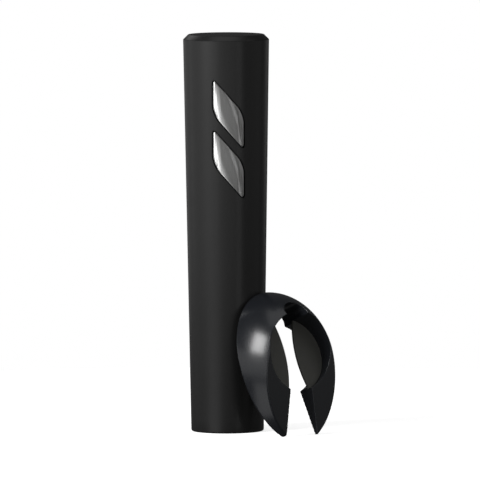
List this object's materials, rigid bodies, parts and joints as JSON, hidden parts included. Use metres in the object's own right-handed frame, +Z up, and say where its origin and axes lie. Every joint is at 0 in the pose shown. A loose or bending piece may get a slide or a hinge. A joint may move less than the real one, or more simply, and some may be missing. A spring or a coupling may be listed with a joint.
{
  "type": "electric wine opener",
  "caption": "Tapered cylindrical cordless corkscrew with two leaf-shaped buttons, an inner worm drive, and a horseshoe foil cutter leaning on its side.",
  "frame": {"origin": "centre of the bottle mouth in the plane of the base", "axes": "+Z up along the body, buttons on the -Y side, foil cutter on the +X side"},
  "size_m": [0.0981, 0.0881, 0.2623],
  "materials": {
    "soft_black": "soft-touch satin black",
    "cap_black": "soft-touch satin black",
    "black_abs": "moulded black",
    "grey_abs": "moulded grey",
    "white_pom": "natural acetal",
    "brushed": "brushed along the length of the button",
    "steel": "bright turned steel",
    "coated_worm": "non-stick coated steel",
    "sintered": "oiled sintered bronze",
    "brass": "turned brass",
    "zinc_can": "zinc-plated steel",
    "ferrite": "ferrite magnet",
    "lamination": "stacked electrical steel",
    "copper": "enamelled copper wire",
    "nickel": "nickel-plated spring steel",
    "cell_jacket": "printed sleeve without any mark",
    "board": "solder-masked board",
    "chip": "moulded component",
    "gloss_black": "glossy blue-black",
    "olive": "matte olive grey",
    "seal": "nitrile rubber"
  },
  "bodies": {
    "housing": {"outer_shell": "soft_black", "base_ring": "black_abs", "bottle_guide": "black_abs", "chassis_front": "grey_abs", "chassis_rear": "grey_abs", "chassis_screws": "zinc_can", "helix_sleeve": "white_pom", "gearbox_housing": "grey_abs", "gearbox_screws": "zinc_can", "output_bush": "sintered", "motor_plate": "zinc_can", "motor_screws": "zinc_can", "motor_can": "zinc_can", "motor_magnets": "ferrite", "motor_end_bell": "white_pom", "motor_bushes": "sintered", "motor_terminals": "brass", "battery_holder": "black_abs", "cell_1": "cell_jacket", "cell_2": "cell_jacket", "cell_3": "cell_jacket", "cell_4": "cell_jacket", "lower_contacts": "nickel", "switch_bodies": "chip", "circuit_board": "board", "board_screws": "zinc_can", "driver_parts": "chip"},
    "cap": {"top_cap": "cap_black", "cap_seal": "seal", "upper_contacts": "nickel"},
    "upper_button": {"upper_button": "brushed", "upper_key": "black_abs"},
    "lower_button": {"lower_button": "brushed", "lower_key": "black_abs"},
    "motor_rotor": {"motor_shaft": "steel", "armature": "lamination", "windings": "copper", "commutator": "copper", "motor_pinion": "brass"},
    "input_carrier": {"input_carrier": "steel", "input_carrier_pins": "steel"},
    "drive": {"drive_tube": "white_pom", "output_carrier": "steel", "output_carrier_pins": "steel"},
    "worm_carriage": {"carriage": "white_pom", "follower_pins": "steel", "worm": "coated_worm"},
    "foil_cutter": {"cutter_body": "gloss_black", "cutter_stops": "olive", "cutter_axles": "steel"},
    "input_planet_1": {"input_planet_1": "white_pom"},
    "output_planet_1": {"output_planet_1": "white_pom"},
    "input_planet_2": {"input_planet_2": "white_pom"},
    "output_planet_2": {"output_planet_2": "white_pom"},
    "input_planet_3": {"input_planet_3": "white_pom"},
    "output_planet_3": {"output_planet_3": "white_pom"},
    "cutter_wheel_1": {"cutter_wheel_1": "steel"},
    "cutter_wheel_2": {"cutter_wheel_2": "steel"},
    "cutter_wheel_3": {"cutter_wheel_3": "steel"},
    "cutter_wheel_4": {"cutter_wheel_4": "steel"}
  },
  "joints": [
    {"name": "cap_lift", "type": "slide", "parent": "housing", "child": "cap", "axis": [0, 0, 1], "range_m": [0, 0.03]},
    {"name": "upper_button_press", "type": "slide", "parent": "housing", "child": "upper_button", "axis": [0, 1, 0], "range_m": [0, 0.0005], "stiffness_N_per_m": 2500},
    {"name": "lower_button_press", "type": "slide", "parent": "housing", "child": "lower_button", "axis": [0, 1, 0], "range_m": [0, 0.0005], "stiffness_N_per_m": 2500},
    {"name": "rotor_spin", "type": "hinge", "parent": "housing", "child": "motor_rotor", "pos_m": [0, 0, 0.165], "axis": [0, 0, -1], "range_deg": [0, 71280]},
    {"name": "input_carrier_spin", "type": "hinge", "parent": "housing", "child": "input_carrier", "pos_m": [0, 0, 0.1344], "axis": [0, 0, -1], "range_deg": [0, 11880]},
    {"name": "drive_spin", "type": "hinge", "parent": "housing", "child": "drive", "pos_m": [0, 0, 0.12], "axis": [0, 0, -1], "range_deg": [0, 1980]},
    {"name": "worm_descent", "type": "slide", "parent": "drive", "child": "worm_carriage", "axis": [0, 0, -1], "range_m": [0, 0.0495]},
    {"name": "input_planet_1_spin", "type": "hinge", "parent": "input_carrier", "child": "input_planet_1", "pos_m": [0.009, 0, 0.1382], "axis": [0, 0, -1], "range_deg": [-29700, 0]},
    {"name": "input_planet_2_spin", "type": "hinge", "parent": "input_carrier", "child": "input_planet_2", "pos_m": [-0.0045, 0.00779, 0.1382], "axis": [0, 0, -1], "range_deg": [-29700, 0]},
    {"name": "input_planet_3_spin", "type": "hinge", "parent": "input_carrier", "child": "input_planet_3", "pos_m": [-0.0045, -0.00779, 0.1382], "axis": [0, 0, -1], "range_deg": [-29700, 0]},
    {"name": "output_planet_1_spin", "type": "hinge", "parent": "drive", "child": "output_planet_1", "pos_m": [0.009, 0, 0.1301], "axis": [0, 0, -1], "range_deg": [-4950, 0]},
    {"name": "output_planet_2_spin", "type": "hinge", "parent": "drive", "child": "output_planet_2", "pos_m": [-0.0045, 0.00779, 0.1301], "axis": [0, 0, -1], "range_deg": [-4950, 0]},
    {"name": "output_planet_3_spin", "type": "hinge", "parent": "drive", "child": "output_planet_3", "pos_m": [-0.0045, -0.00779, 0.1301], "axis": [0, 0, -1], "range_deg": [-4950, 0]},
    {"name": "foil_cutter_take", "type": "slide", "parent": "housing", "child": "foil_cutter", "axis": [0.5736, -0.8192, 0], "range_m": [0, 0.05]},
    {"name": "cutter_wheel_1_spin", "type": "hinge", "parent": "foil_cutter", "child": "cutter_wheel_1", "pos_m": [0.0456, -0.01879, 0.06336], "axis": [0.5355, -0.7647, 0.3584], "continuous": true},
    {"name": "cutter_wheel_2_spin", "type": "hinge", "parent": "foil_cutter", "child": "cutter_wheel_2", "pos_m": [0.02324, -0.03444, 0.06336], "axis": [0.5355, -0.7647, 0.3584], "continuous": true},
    {"name": "cutter_wheel_3_spin", "type": "hinge", "parent": "foil_cutter", "child": "cutter_wheel_3", "pos_m": [0.02885, -0.04246, 0.03788], "axis": [0.5355, -0.7647, 0.3584], "continuous": true},
    {"name": "cutter_wheel_4_spin", "type": "hinge", "parent": "foil_cutter", "child": "cutter_wheel_4", "pos_m": [0.05121, -0.0268, 0.03788], "axis": [0.5355, -0.7647, 0.3584], "continuous": true}
  ],
  "couplings": [
    {"joint": "input_carrier_spin", "follows": "rotor_spin", "ratio": 0.16667},
    {"joint": "drive_spin", "follows": "rotor_spin", "ratio": 0.027778},
    {"joint": "worm_descent", "follows": "rotor_spin", "m_per_rad": 0.000039789},
    {"joint": "input_planet_1_spin", "follows": "rotor_spin", "ratio": -0.41667},
    {"joint": "input_planet_2_spin", "follows": "rotor_spin", "ratio": -0.41667},
    {"joint": "input_planet_3_spin", "follows": "rotor_spin", "ratio": -0.41667},
    {"joint": "output_planet_1_spin", "follows": "rotor_spin", "ratio": -0.069444},
    {"joint": "output_planet_2_spin", "follows": "rotor_spin", "ratio": -0.069444},
    {"joint": "output_planet_3_spin", "follows": "rotor_spin", "ratio": -0.069444}
  ]
}
